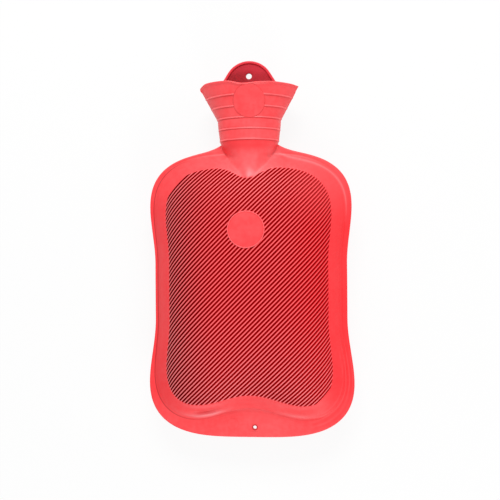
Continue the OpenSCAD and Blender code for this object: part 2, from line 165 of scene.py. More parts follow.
def neck_over(x, y):
    """Height of the neck's oval over the parting plane, falling away all round its root."""
    q = (x / outer_w(y)) ** 2
    soft = mix(ROOT_POINT, OVAL, ease((y - ROOT_Y) / (CORNER_Y - ROOT_Y)))
    oval = outer_d(y) * np.clip(1 - q, 0, 1) ** soft - FALL * np.clip(q - 1, 0, 1)
    return oval - np.clip(ROOT_Y - y, 0, FALL)


# Front and back of the bladder over the parting plane: a plump cushion on a flat flange with a
# rounded edge, which the neck grows out of with a soft fillet. A crisp line that the mould
# leaves runs round the cushion's foot, with a soft roll on it at both lower corners.
FLANGE_T, EDGE_ROUND = 3.0, 1.3
FRONT_RISE, BACK_RISE, FULLNESS, BACK_FULLNESS, BACK_FLAT = 30.0, 29.0, 4.0, 2.5, 0.35
FRONT_FAR, BACK_FAR = 1.4, 1.6
ROOT_BLEND, BLEND_RUN, FLANGE_RUN, FOOT_BLEND = 12.0, 16.0, 3.0, 1.2
LOBE_X, LOBE_SPAN, LOBE_RIGHT, LOBE_RUN, LOBE_START = 44.0, 19.0, 0.5, 50.0, 1.4
HOLLOW_DIP, HOLLOW_FROM, HOLLOW_RUN = 0.05, 0.84, 0.09
ROLL_H, ROLL_LEVEL, ROLL_HALF = 2.0, 0.968, 0.016


def flange_over(inset):
    t = np.clip((EDGE_ROUND - inset) / EDGE_ROUND, 0, 1)
    return FLANGE_T / 2 * np.sqrt(1 - t * t)


def with_neck(x, y, inset, cushion):
    blend = ROOT_BLEND * np.clip((CORNER_Y - y) / BLEND_RUN, 0, 1)
    fade = np.clip((CORNER_Y - y) / FLANGE_RUN, 0, 1)
    body = (flange_over(inset) + cushion) * np.where(np.abs(x) < NECK_W / 2, fade, 1.0)
    return blunt_max(body, neck_over(x, y), blend)


def lobes(x, y):
    """1 in the left lower corner of the front, less in the right one, fading out round them."""
    both = bell(x + LOBE_X, LOBE_SPAN) + LOBE_RIGHT * bell(x - LOBE_X, LOBE_SPAN)
    return both * ease(-y / LOBE_RUN - LOBE_START)


def front_over(x, y, inset):
    level = np.minimum(foot_level(x, y), FRONT_FAR)
    hollow = level + HOLLOW_DIP * lobes(x, y) * ease((level - HOLLOW_FROM) / HOLLOW_RUN)
    roll = ROLL_H * lobes(x, y) * bell(level - ROLL_LEVEL, ROLL_HALF)
    cushion = blunt_max(FRONT_RISE * (1 - hollow**FULLNESS), 0.0, FOOT_BLEND)
    return with_neck(x, y, inset, cushion + roll)


def back_over(x, y, inset):
    level = foot_level(x, y)
    fall = np.clip((level - BACK_FLAT) / (1 - BACK_FLAT), 0, BACK_FAR) ** BACK_FULLNESS
    return with_neck(x, y, inset, blunt_max(BACK_RISE * (1 - fall), 0.0, FOOT_BLEND))


# Skin of the bladder between the ribs and the flange: rings of points that run round the
# bottle, in directions that crowd together beside the neck, where its sides stand steep.
MID_Z = 30.5
NECK_COLUMNS = 100
TURN_FIRST, TURN_GROWTH, TURN_MOST = 0.1, 0.06, 0.9
FLANGE_SHARES = [0.05, 0.12, 0.2, 0.3, 0.42, 0.55, 0.7, 0.85]
INSETS = [1.4, 1.1, 0.8, 0.55, 0.33, 0.16, 0.05, 0.0]
corner_angle = math.atan2(CORNER_Y, NECK_W / 2)
neck_turn = np.linspace(0, math.pi, NECK_COLUMNS + 1)
neck_angles = np.arctan2(CORNER_Y, NECK_W / 2 * np.cos(neck_turn))


def flank_angles():
    """Directions from the neck's left corner round the bottom to its right corner."""
    steps, angle = [], 0.0
    while angle < math.degrees(corner_angle) + 90:
        step = min(TURN_FIRST + TURN_GROWTH * angle, TURN_MOST)
        steps.append(step)
        angle += step
    turned = np.cumsum(steps) * (corner_angle + math.pi / 2) / sum(steps)
    right = corner_angle - turned
    left = math.pi - right
    return np.concatenate([left, right[-2::-1]])


angles = np.concatenate([neck_angles, flank_angles()])
in_neck = np.arange(len(angles)) <= NECK_COLUMNS
panel_r = reach(panel_level, angles)
foot_r = reach(foot_level, angles)
outer_r = np.where(in_neck, CORNER_Y / np.sin(angles), reach(edge_level, angles))


def border_rings(over, sign, inner_r, shares):
    """Rings of one half, from the middle out, and how far inside the edge and foot they lie."""
    radii = [mix(inner_r, foot_r, t) for t in shares]
    flat = outer_r - INSETS[0]
    radii += [mix(foot_r, flat, t) for t in FLANGE_SHARES] + [outer_r - e for e in INSETS]
    rings = []
    for r in radii:
        x, y = r * np.cos(angles), r * np.sin(angles)
        z = over(x, y, outer_r - r)
        rings.append((np.stack([x, y, MID_Z + sign * z], axis=1), outer_r - r, foot_r - r))
    last = rings[-1][0]
    last[~in_neck, 2] = MID_Z
    last[in_neck, 0] = outer_w(CORNER_Y) * np.cos(neck_turn)
    last[in_neck, 1] = CORNER_Y
    last[in_neck, 2] = MID_Z + sign * outer_d(CORNER_Y) * np.sin(neck_turn)
    return rings


class Skin:
    """Points and faces of one closed skin, joined up ring by ring, with marks on its points."""

    HOLE_ROOM, HOLE_NEAR, HOLE_TURNS = 0.35, 12.0, np.radians([0, 30, 60, 90])
    SLIP, MERGED = 1e-9, 2e-6

    def __init__(self, **marks):
        self.defaults = marks
        self.points, self.marks, self.faces = [], [], []
        self.count = 0

    def add(self, points, **marks):
        points = np.asarray(points, float)
        table = np.zeros((len(points), len(self.defaults)))
        for k, (key, usual) in enumerate(self.defaults.items()):
            table[:, k] = marks.get(key, usual)
        self.points.append(points)
        self.marks.append(table)
        first = self.count
        self.count += len(points)
        return list(range(first, self.count))

    def band(self, outer, inner):
        """Faces between two rings with as many points, seen with their points turning left."""
        for i in range(len(outer)):
            j = (i + 1) % len(outer)
            self.faces.append((outer[i], outer[j], inner[j], inner[i]))

    def fan(self, ring, centre):
        for i in range(len(ring)):
            self.faces.append((ring[i], ring[(i + 1) % len(ring)], centre))

    def join(self, ring, outline, about=(0.0, 0.0), turned_over=False):
        """Triangles between a ring and a finer outline inside it, matched by their bearings."""
        points = np.concatenate(self.points)
        start = math.atan2(points[outline[0]][1] - about[1], points[outline[0]][0] - about[0])

        def bearings(ids):
            turn = np.arctan2(points[ids, 1] - about[1], points[ids, 0] - about[0])
            return np.mod(turn - start + self.SLIP, 2 * math.pi)

        inner, outer = bearings(outline), bearings(ring)
        first, n, m = int(np.argmin(outer)), len(ring), len(outline)
        turned = np.append(np.roll(outer, -first), outer[first] + 2 * math.pi)
        halfway = (turned[:-1] + turned[1:]) / 2
        middle = (inner + np.append(inner[1:], 2 * math.pi)) / 2
        nearest = np.searchsorted(halfway, middle) - (middle < halfway[-1] - 2 * math.pi)
        nearest = np.minimum(np.maximum.accumulate(nearest), nearest[0] + n)
        made = []
        for i in range(m):
            after = outline[(i + 1) % m]
            made.append((ring[(first + nearest[i]) % n], after, outline[i]))
            to = nearest[i + 1] if i + 1 < m else nearest[0] + n
            for k in range(nearest[i], to):
                made.append((ring[(first + k) % n], ring[(first + k + 1) % n], after))
        self.faces += [face[::-1] for face in made] if turned_over else made

    def drill(self, x, y, radius, rounding=0.3, sides=28):
        """Round hole through both sheets of the skin, along Z, with rounded edges."""
        points = np.concatenate(self.points)
        clear = radius + rounding + self.HOLE_ROOM
        turn = np.linspace(0, 2 * math.pi, sides, endpoint=False)
        kept, cut = [], {1: [], -1: []}
        heights = points[np.hypot(points[:, 0] - x, points[:, 1] - y) < self.HOLE_NEAR][:, 2]
        middle = (heights.min() + heights.max()) / 2
        low, high = np.array([x, y]) - clear, np.array([x, y]) + clear
        for face in self.faces:
            corners = points[list(face)]
            flat = corners[:, :2]
            if (flat.max(axis=0) > low).all() and (flat.min(axis=0) < high).all():
                cut[1 if corners[:, 2].mean() > middle else -1].append(face)
            else:
                kept.append(face)
        self.faces = kept
        walls = []
        for sign, faces in cut.items():
            edges = {(f[i], f[(i + 1) % len(f)]) for f in faces for i in range(len(f))}
            rim = sorted({a for a, b in edges if (b, a) not in edges},
                         key=lambda v: math.atan2(points[v][1] - y, points[v][0] - x))
            z = points[rim, 2].mean()
            rings = []
            for a in self.HOLE_TURNS:
                r = radius + rounding * (1 - math.sin(a))
                deep = np.full(sides, z - sign * rounding * (1 - math.cos(a)))
                rings.append(self.add(
                    np.stack([x + r * np.cos(turn), y + r * np.sin(turn), deep], axis=1)))
            self.join(rim, rings[0], about=(x, y), turned_over=sign < 0)
            walls.append(rings)
        front, back = walls
        for outer, inner in zip(front, front[1:]):
            self.band(outer, inner)
        for outer, inner in zip(back, back[1:]):
            self.band(inner, outer)
        self.band(front[-1], back[-1])

    def mesh(self, name):
        """The skin as a mesh with its seams merged and its faces turned outwards."""
        made = bpy.data.meshes.new(name)
        made.from_pydata((np.concatenate(self.points) * MM).tolist(), [], self.faces)
        marks = np.concatenate(self.marks)
        for k, label in enumerate(self.defaults):
            made.attributes.new(label, "FLOAT", "POINT").data.foreach_set("value", marks[:, k])
        work = bmesh.new()
        work.from_mesh(made)
        bmesh.ops.remove_doubles(work, verts=work.verts, dist=self.MERGED)
        bmesh.ops.recalc_face_normals(work, faces=work.faces)
        work.to_mesh(made)
        work.free()
        return made


FAR_FROM_FOOT = 40.0
skin = Skin(across=0.0, panel=0.0, bead=0.0, along=0.0, from_foot=FAR_FROM_FOOT, crest=0.0)

# Ribbed panel of the front. The ribs run straight at 45 degrees over the developed front and
# crowd together where it slopes away, so its grid follows them: lines along each rib, ending
# on the panel's outline.
RIB_PITCH, RIB_LAND, RIB_DEPTH = 3.05, 1.2, 1.35
RIB_ANGLE = math.radians(45)
RIB_FAR, RIB_UNTIL, MOST_RIBS, SHORT_RIB = 180.0, 0.99, 80, 10.0
BULGE, BULGE_POWER = 0.8, 6
MIDDLE_STEPS, END_STEPS, LINE_STEPS = 60, 50, 48
INLAND = 20.0
GROOVE_AT = (RIB_PITCH + RIB_LAND) / 2
LINE_PLACES = [RIB_LAND / 2] + [GROOVE_AT + d for d in (-0.88, -0.58, -0.25, 0.25, 0.58, 0.88)]
GROOVE_LEADS = [0.45, 0.9, 1.4]


def bulged(v, reach_v):
    """A place on the developed front as it shows from above, drawn in towards the sides."""
    gain = BULGE * (FRONT_RISE / reach_v) ** 2
    return v * (1 - gain * np.minimum(1, np.abs(v) / reach_v) ** BULGE_POWER)


def rib_plan(u, across):
    """X and Y of a place u along a rib line that lies so far across the ribs."""
    x = u * math.cos(RIB_ANGLE) - across * math.sin(RIB_ANGLE)
    y = u * math.sin(RIB_ANGLE) + across * math.cos(RIB_ANGLE)
    return bulged(x, WAIST_HALF - FLANGE_SIDE), bulged(y, TOP_REACH - FLANGE_TOP)


def rib_level(u, across):
    return panel_level(*rib_plan(u, across))


def rib_middles(across):
    low, high = np.full_like(across, -RIB_FAR), np.full_like(across, RIB_FAR)
    for _ in range(MIDDLE_STEPS):
        a, b = mix(low, high, 1 / 3), mix(low, high, 2 / 3)
        left = rib_level(a, across) < rib_level(b, across)
        low, high = np.where(left, low, a), np.where(left, b, high)
    return (low + high) / 2


def rib_ends(across, middle, way):
    inner, outer = middle.copy(), middle + way * SEARCH_FAR
    for _ in range(END_STEPS):
        u = (inner + outer) / 2
        inside = rib_level(u, across) < 1
        inner, outer = np.where(inside, u, inner), np.where(inside, outer, u)
    return (inner + outer) / 2


trial = np.arange(-RIB_FAR, RIB_FAR, 0.5)
spread = trial[rib_level(rib_middles(trial), trial) < RIB_UNTIL]
across = np.array([i * RIB_PITCH + line for i in range(-MOST_RIBS, MOST_RIBS)
                   for line in LINE_PLACES])
across = across[(across > spread.min()) & (across < spread.max())]
middles = rib_middles(across)
lows, highs = rib_ends(across, middles, -1), rib_ends(across, middles, 1)
rib_rows = []
for k, (line, low, high) in enumerate(zip(across, lows, highs)):
    shrink = min(1.0, (high - low) / SHORT_RIB)
    leads = [lead * shrink for lead in GROOVE_LEADS]
    turn = (1 - np.cos(np.linspace(0, math.pi, LINE_STEPS + 1))) / 2
    middle_run = mix(low + leads[-1], high - leads[-1], turn)
    u = np.concatenate([[low], low + np.array(leads[:-1]), middle_run,
                        high - np.array(leads[-2::-1]), [high]])
    x, y = rib_plan(u, line)
    deep = ease(np.minimum(u - low, high - u) / leads[-1])
    outermost = k in (0, len(across) - 1)
    rib_rows.append(skin.add(np.stack([x, y, MID_Z + front_over(x, y, INLAND)], axis=1),
                             across=line, panel=0.0 if outermost else deep))
for lower, upper in zip(rib_rows, rib_rows[1:]):
    for j in range(len(lower) - 1):
        skin.faces.append((lower[j], lower[j + 1], upper[j + 1], upper[j]))
outline = ([row[-1] for row in rib_rows] + rib_rows[-1][-2:0:-1]
           + [row[0] for row in reversed(rib_rows)] + rib_rows[0][1:-1])

# Smooth border, flange and back, which close the skin round the panel, and the small hole in
# the lower flange by which the bottle hangs up to drain.
FRONT_SHARES = [0.06, 0.15, 0.25, 0.36, 0.47, 0.58, 0.68, 0.77, 0.85, 0.91, 0.955, 0.985, 1.0]
BACK_SHARES = [0.05, 0.15, 0.25, 0.35, 0.43, 0.5, 0.57, 0.64, 0.7, 0.76, 0.81, 0.86, 0.9,
               0.935, 0.965, 0.985, 1.0]
HANG_X, HANG_Y, HANG_R = 3.4, -130.8, 1.75
# Strengths, places and widths of the painted highlights along the front.
CORNER_PALE, CORNER_LEVEL, CORNER_HALF = 0.9, 0.976, 0.012
ABOVE_PALE, ABOVE_LEVEL, ABOVE_HALF = 0.4, 0.905, 0.016
SHOULDER_PALE, SHOULDER_INSET, SHOULDER_LINE = 0.6, 7.0, 1.1
FLOW_PALE, FLOW_GAP, FLOW_HALF = 0.16, 4.4, 0.7
KNUCKLE_PALE, KNUCKLE_X, KNUCKLE_UP, KNUCKLE_R = 0.65, 2.5, 5.0, 4.0
CREASE_PALE, CREASE_X, CREASE_Y, CREASE_R = 0.45, 22.0, 132.0, 6.0


def crests(ring, inset):
    """How much painted highlight the front has along its rolls and creases, on the neck's knuckle
    and the crease beside it, with faint pale flow lines low on the right.
    """
    x, y = ring[:, 0], ring[:, 1]
    level = foot_level(x, y)
    corner = lobes(x, y) * (CORNER_PALE * bell(level - CORNER_LEVEL, CORNER_HALF)
                            + ABOVE_PALE * bell(level - ABOVE_LEVEL, ABOVE_HALF))
    upper_right = ease((y - 60) / 40) * ease((x - 24) / 12)
    shoulder = SHOULDER_PALE * bell(inset - SHOULDER_INSET, SHOULDER_LINE) * upper_right
    lower_right = ease((x - 45) / 30) * ease((-y - 30) / 50) * ease((20 - inset) / 8)
    flow = FLOW_PALE * bell(np.mod(inset, FLOW_GAP) - FLOW_GAP / 2, FLOW_HALF) * lower_right
    knuckle = KNUCKLE_PALE * bell(np.hypot(x - KNUCKLE_X, y - ROOT_Y - KNUCKLE_UP), KNUCKLE_R)
    crease = CREASE_PALE * bell(np.hypot(x - CREASE_X, y - CREASE_Y), CREASE_R)
    return corner + shoulder + flow + knuckle + crease


front_rings = [skin.add(ring, from_foot=from_foot, crest=crests(ring, inset))
               for ring, inset, from_foot in border_rings(front_over, 1, panel_r, FRONT_SHARES)]
back_rings = [skin.add(ring, from_foot=from_foot)
              for ring, _, from_foot in border_rings(back_over, -1, 0 * panel_r, BACK_SHARES)]
for inner, outer in zip(front_rings, front_rings[1:]):
    skin.band(outer, inner)
for inner, outer in zip(back_rings, back_rings[1:]):
    skin.band(inner, outer)
skin.fan(back_rings[0][::-1], skin.add([[0.0, 0.0, 0.0]])[0])
skin.join(front_rings[0], outline)
skin.drill(HANG_X, HANG_Y, HANG_R)

# Neck and funnel: rings of points up the outside, over the rolled lip, down the inside to the
# seat, and into the throat, which closes below the insert. The soft lip waves a little, and a
# fine flash runs up both sides, where the half moulds meet.
RING_COUNT, RING_GAP, RING_H = 5, 10.2, 0.8
FIRST_RING_Y = KINK_Y + 0.8 - 2 * RING_GAP
DISC_X, DISC_Y, DISC_R = 1.5, FIRST_RING_Y + 3.4 * RING_GAP, 14.7
SWAY_FROM, FLASH_H, ROLL_OUT, ROLL_UP, ROLL_DIP, POINT_LEAN = 186.0, 0.35, 0.4, 1.5, 1.1, 1.2
INSERT_R, BORE_R, INSERT_LEN, THROAT_LEN = 15.0, 11.2, 22.0, 14.0
WAVE_X = [-1, -0.9, -0.5, -0.2, 0.02, 0.12, 0.22, 0.32, 0.45, 0.72, 0.9, 1]
WAVE_H = [1.1, 1.8, 1.7, 0.5, -0.7, -0.8, 0.2, 2.0, 2.8, 3.7, 3.9, 1.0]
WAVE_SOFTENING = 6
BEAD_ROWS = [-0.9, -0.6, -0.42, -0.25, -0.08, 0.1, 0.35, 0.65, 1.0]
LIP_ROWS = [2.8, 2.5, 2.2, 1.9]
ROW_GAP, ROW_CLEAR, FUNNEL_LOOPS = 0.95, 1.3, 16
loop_turn = np.concatenate([neck_turn, neck_turn[1:-1] + math.pi])


def section(y, w, d, point):
    s = np.sin(loop_turn)
    y = np.broadcast_to(y, loop_turn.shape)
    z = MID_Z + d * np.sign(s) * np.abs(s) ** (2 * point)
    return np.stack([w * np.cos(loop_turn), y, z], axis=1)


def lip_wave():
    """How far the lip stands over its even height, all round the mouth."""
    x = np.cos(loop_turn)
    back = 0.9 * x + 0.7 * np.cos(3 * loop_turn)
    wave = np.where(loop_turn <= math.pi, np.interp(-x, WAVE_X, WAVE_H), back)
    for _ in range(WAVE_SOFTENING):
        wave = (np.roll(wave, 1) + 2 * wave + np.roll(wave, -1)) / 4
    return wave


wave = lip_wave()
flash = np.zeros(len(loop_turn))
flash[[0, NECK_COLUMNS]] = FLASH_H
first_loop = front_rings[-1][: NECK_COLUMNS + 1] + back_rings[-1][1:NECK_COLUMNS][::-1]
ring_ys = FIRST_RING_Y + RING_GAP * np.arange(RING_COUNT)
fine = (ring_ys[:, None] + np.array(BEAD_ROWS)).ravel()
coarse = np.arange(CORNER_Y + 0.8, LIP_Y - LIP_WALL, ROW_GAP)
coarse = coarse[np.abs(coarse[:, None] - ring_ys).min(axis=1) > ROW_CLEAR]
rise = np.sort(np.concatenate([fine, coarse, LIP_Y - np.array(LIP_ROWS)]))
loops = [first_loop]
for y in rise:
    sway = wave * ease((y - SWAY_FROM) / (LIP_Y - SWAY_FROM))
    swell = ROLL_OUT * ease((y - LIP_Y + LIP_ROWS[0]) / 0.8)
    ring = section(y + sway, outer_w(y) + swell, outer_d(y) + swell, pointing(y))
    ring[:, 0] += np.sign(ring[:, 0]) * flash * ease((y - CORNER_Y) / 3)
    off_disc = np.hypot(ring[:, 0] - DISC_X, y - DISC_Y) - DISC_R
    shown = np.where(ring[:, 2] > MID_Z, np.clip(off_disc / 0.8, 0, 1), 1.0)
    shown *= 0.45 + 0.55 * ease(np.abs(np.sin(loop_turn)) / 0.5)
    loops.append(skin.add(ring, bead=shown, along=y))
lip_w, lip_d = MOUTH_W / 2 + ROLL_OUT, MOUTH_D / 2 + ROLL_OUT
roll_up = ROLL_UP - ROLL_DIP * np.cos(loop_turn) ** 8
for turn in np.radians([0, 30, 60, 90, 120, 150, 180]):
    out = (LIP_WALL + ROLL_OUT) / 2 * (1 - math.cos(turn))
    y = LIP_Y + roll_up * (math.sin(turn) - 1) + wave
    loops.append(skin.add(section(y, lip_w - POINT_LEAN * out, lip_d - out, MOUTH_POINT)))
inner_w, inner_d = lip_w - POINT_LEAN * (LIP_WALL + ROLL_OUT), lip_d - LIP_WALL - ROLL_OUT
floor_r = INSERT_R + 1
for t in np.linspace(0, 1, FUNNEL_LOOPS)[1:]:
    y = mix(LIP_Y - ROLL_UP, SEAT_Y, t) + wave * (1 - ease(t * 2))
    loops.append(skin.add(section(y, mix(inner_w, floor_r, t), mix(inner_d, floor_r, t),
                                  mix(MOUTH_POINT, OVAL, t))))
insert_y = SEAT_Y - INSERT_LEN
throat_y = insert_y - THROAT_LEN
for y, r in ((SEAT_Y, INSERT_R), (insert_y, INSERT_R), (insert_y, BORE_R), (throat_y, BORE_R)):
    loops.append(skin.add(section(y, r, r, OVAL)))
for lower, upper in zip(loops, loops[1:]):
    skin.band(lower, upper)
skin.fan(loops[-1], skin.add([[0.0, throat_y, MID_Z]])[0])

# Badge on the front and disc on the funnel: plain round plates of the same rubber, where the
# mould has two round inlays. The badge has a fine raised rim, and both are bare.
BADGE_X, BADGE_Y, BADGE_R = -1.7, 58.4, 17.4
PLATE_SIDES, PLATE_SUNK, RIM_FROM, RIM_PALE = 112, 3.0, 16.5, 0.3
BADGE_RIM, BADGE_FACE = 1.4, 0.28
DISC_EDGE, DISC_FACE = 0.4, 0.5


def neck_front_over(x, y):
    inside = np.maximum(0.01, 1 - (x / outer_w(y)) ** 2)
    return outer_d(y) * inside ** pointing(y)


def add_plate(x0, y0, over, profile):
    """Round plate that follows a surface: profile gives each ring's radius and lift."""
    turn = np.linspace(0, 2 * math.pi, PLATE_SIDES, endpoint=False)
    rings, top = [], max(lift for _, lift in profile)
    for r, lift in profile:
        x, y = x0 + r * np.cos(turn), y0 + r * np.sin(turn)
        # The top of the badge's raised rim carries a painted highlight.
        on_rim = lift > top - 0.1 and r > RIM_FROM
        rings.append(skin.add(np.stack([x, y, MID_Z + over(x, y) + lift], axis=1),
                              crest=RIM_PALE if on_rim else 0.0))
    for outer, inner in zip(rings, rings[1:]):
        skin.band(outer, inner)
    height = MID_Z + float(over(np.array(x0), np.array(y0)))
    skin.fan(rings[-1], skin.add([[x0, y0, height + profile[-1][1]]])[0])
    skin.fan(rings[0][::-1], skin.add([[x0, y0, height - PLATE_SUNK]])[0])


r = BADGE_R
badge_profile = [(r, -2.4), (r, 0.35), (r - 0.12, 0.55), (r - 0.35, 0.62), (r - 0.7, 0.6),
                 (r - 0.95, 0.42), (r - 1.1, 0.3), (r - BADGE_RIM, BADGE_FACE)]
badge_profile += [(share * (r - BADGE_RIM), BADGE_FACE)
                  for share in (0.9, 0.75, 0.6, 0.45, 0.3, 0.15, 0.03)]
add_plate(BADGE_X, BADGE_Y, lambda x, y: front_over(x, y, INLAND), badge_profile)
r = DISC_R
disc_profile = [(r, -2.0), (r, 0.3), (r - 0.15, 0.45), (r - DISC_EDGE, DISC_FACE)]
disc_profile += [(share * (r - DISC_EDGE), DISC_FACE)
                 for share in (0.93, 0.8, 0.65, 0.5, 0.35, 0.2, 0.04)]
add_plate(DISC_X, DISC_Y, neck_front_over, disc_profile)

# Relief of the mould: grooves between the ribs, and the beads round the neck, which the real
# mould has cut into it. A node tree presses both into the skin along its normals, from the
# marks that the skin carries.
GROOVE_EDGES, SHADE_EDGES = (0.2, 1.0), (0.3, 1.3)
BEAD_LOW, BEAD_HIGH = (-0.6, -0.1), (0.1, 1.0)
RUBBER_SHARP = math.radians(55)


class Socket:
    """A node's output on which plain arithmetic adds Math nodes, in the tree being built."""

    tree = None

    def __init__(self, socket):
        self.socket = socket

    @classmethod
    def node(cls, kind, settings=(), **values):
        """A new node: its settings first, then the values or the links of its inputs."""
        made = cls.tree.nodes.new(kind)
        for key, value in dict(settings).items():
            setattr(made, key, value)
        for key, value in values.items():
            given = made.inputs[int(key[1:]) if key[1:].isdigit() else key.replace("_", " ")]
            if isinstance(value, Socket):
                cls.tree.links.new(value.socket, given)
            else:
                given.default_value = value
        return made

    def maths(self, operation, *others):
        values = {f"i{k}": v for k, v in enumerate((self, *others))}
        made = self.node("ShaderNodeMath", {"operation": operation}, **values)
        return type(self)(made.outputs[0])

    def __add__(self, other):
        return self.maths("ADD", other)

    __radd__ = __add__

    def __mul__(self, other):
        return self.maths("MULTIPLY", other)

    __rmul__ = __mul__

    def __sub__(self, other):
        return self.maths("SUBTRACT", other)

    def __rsub__(self, other):
        return (self * -1) + other

    def __truediv__(self, other):
        return self.maths("DIVIDE", other)

    def ramp(self, low, high, start=0.0, end=1.0):
        """Goes smoothly from start to end as this number goes from low to high."""
        made = self.node("ShaderNodeMapRange", {"interpolation_type": "SMOOTHSTEP"},
                         i0=self, i1=low, i2=high, i3=start, i4=end)
        return type(self)(made.outputs[0])

    def fade(self, low, high):
        return self.ramp(low, high, 1.0, 0.0)

    def millimetres(self):
        """The X, Y and Z of this place, in millimetres."""
        split = self.node("ShaderNodeSeparateXYZ", i0=self)
        return [type(self)(split.outputs[k]) * (1 / MM) for k in range(3)]


class Field(Socket):
    """A socket of a geometry tree."""

    @classmethod
    def start(cls, name, *sizes):
        """A new tree with a geometry input and named sizes, as a dictionary of its inputs."""
        cls.tree = bpy.data.node_groups.new(name, "GeometryNodeTree")
        new_socket = cls.tree.interface.new_socket
        new_socket("Geometry", in_out="INPUT", socket_type="NodeSocketGeometry")
        for label in sizes:
            new_socket(label, in_out="INPUT", socket_type="NodeSocketFloat")
        new_socket("Geometry", in_out="OUTPUT", socket_type="NodeSocketGeometry")
        given = cls.tree.nodes.new("NodeGroupInput")
        return {s.name: Field(s) for s in given.outputs if s.name}

    @classmethod
    def end(cls, geometry, material):
        real = cls.node("GeometryNodeRealizeInstances", i0=geometry)
        done = cls.node("GeometryNodeSetMaterial", i0=Field(real.outputs[0]), Material=material)
        cls.tree.links.new(done.outputs[0], cls.tree.nodes.new("NodeGroupOutput").inputs[0])
        return cls.tree

    @classmethod
    def mark(cls, label):
        made = cls.node("GeometryNodeInputNamedAttribute", {"data_type": "FLOAT"}, Name=label)
        return cls(made.outputs[0])

    @classmethod
    def place(cls):
        return cls(cls.node("GeometryNodeInputPosition").outputs[0])

    def keep(self, label, value):
        """This geometry, with a value stored on its points for the finish to read."""
        stored = {"data_type": "FLOAT", "domain": "POINT"}
        made = self.node("GeometryNodeStoreNamedAttribute", stored, i0=self, Name=label,
                         Value=value)
        return Field(made.outputs[0])

    def lifted(self, millimetres):
        """This geometry, with each point moved along its normal."""
        normal = Field(self.node("GeometryNodeInputNormal").outputs[0])
        push = self.node("ShaderNodeVectorMath", {"operation": "SCALE"}, i0=normal,
                         Scale=millimetres * MM)
        moved = self.node("GeometryNodeSetPosition", i0=self, Offset=Field(push.outputs[0]))
        return Field(moved.outputs[0])


def mould_relief(material):
    size = Field.start("mould_relief", "Rib pitch", "Rib land", "Groove depth", "First ring",
                       "Ring gap", "Ring height")
    pitch, land = size["Rib pitch"], size["Rib land"]
    phase = (Field.mark("across") / pitch).maths("FRACT")
    phase = (phase + 1).maths("FRACT") * pitch
    off_groove = (phase - (pitch + land) * 0.5).maths("ABSOLUTE") / ((pitch - land) * 0.5)
    groove = off_groove.fade(*GROOVE_EDGES) * Field.mark("panel")
    shade = off_groove.fade(*SHADE_EDGES) * Field.mark("panel")
    turn = (Field.mark("along") - size["First ring"]) / size["Ring gap"]
    off_ring = (turn - turn.maths("ROUND")) * size["Ring gap"]
    bead = off_ring.ramp(*BEAD_LOW) * off_ring.fade(*BEAD_HIGH) * Field.mark("bead")
    marked = size["Geometry"].keep("groove_shade", shade).keep("ring_bead", bead)
    lift = bead * size["Ring height"] - groove * size["Groove depth"]
    return Field.end(marked.lifted(lift), material)


def through_tree(name, mesh, tree, sizes):
    """A plain mesh of what a node tree makes of a mesh, with no modifier left on it."""
    source = bpy.data.objects.new(name + "_source", mesh)
    bpy.context.scene.collection.objects.link(source)
    modifier = source.modifiers.new("shape", "NODES")
    modifier.node_group = tree
    for item in tree.interface.items_tree:
        if item.in_out == "INPUT" and item.name in sizes:
            modifier[item.identifier] = sizes[item.name]
    evaluated = source.evaluated_get(bpy.context.evaluated_depsgraph_get())
    plain = bpy.data.meshes.new_from_object(evaluated)
    source.modifiers.remove(modifier)
    bpy.data.objects.remove(source)
    made = bpy.data.objects.new(name, plain)
    bpy.context.scene.collection.objects.link(made)
    return made


# Finish of the rubber: coral red, with a pale bloom mixed with painted sheen, painted
# highlights on the lands, beads, rolls and creases, and painted shade from crimson to nearly
# black in the grooves and fine lines. A finish is built from node outputs: numbers add Math
# nodes, colours mix, and any other node comes from one call.
RUBBER = (0.95, 0.030, 0.038)
RUBBER_BLOOM_SHEEN = (0.97, 0.130, 0.140)
RUBBER_HIGHLIGHT = (0.95, 0.250, 0.270)
RUBBER_GREY_HIGHLIGHT = (0.68, 0.260, 0.270)
RUBBER_RED = (0.80, 0.006, 0.012)
RUBBER_CRIMSON = (0.68, 0.000, 0.005)
RUBBER_DEEP = (0.42, 0.000, 0.001)
RUBBER_DARK = (0.05, 0.000, 0.000)
CLOUD_SCALE, MOTTLE_SCALE, GRAIN_SCALE, PORE_SCALE = 28.0, 220.0, 260.0, 1500.0
GRAIN_DEPTH, RUBBER_BUMP = 0.00012, 0.5
FOOT_SHADE, FOOT_SHADE_RIGHT, CIRCLE_SHADE, MARK_SHADE = 0.4, 0.13, 0.22, 0.12
HOLE_SHADE, RING_SHADE, RING_SHADE_ABOVE, MOST_SHADE = 0.8, 0.3, 0.6, 0.8
MOULD_MARK, MARK_R, LINE_HALF = (-18.0, -127.7), 5.4, 0.6
RINGS_FROM, RINGS_UNTIL = 141.2, 188.0


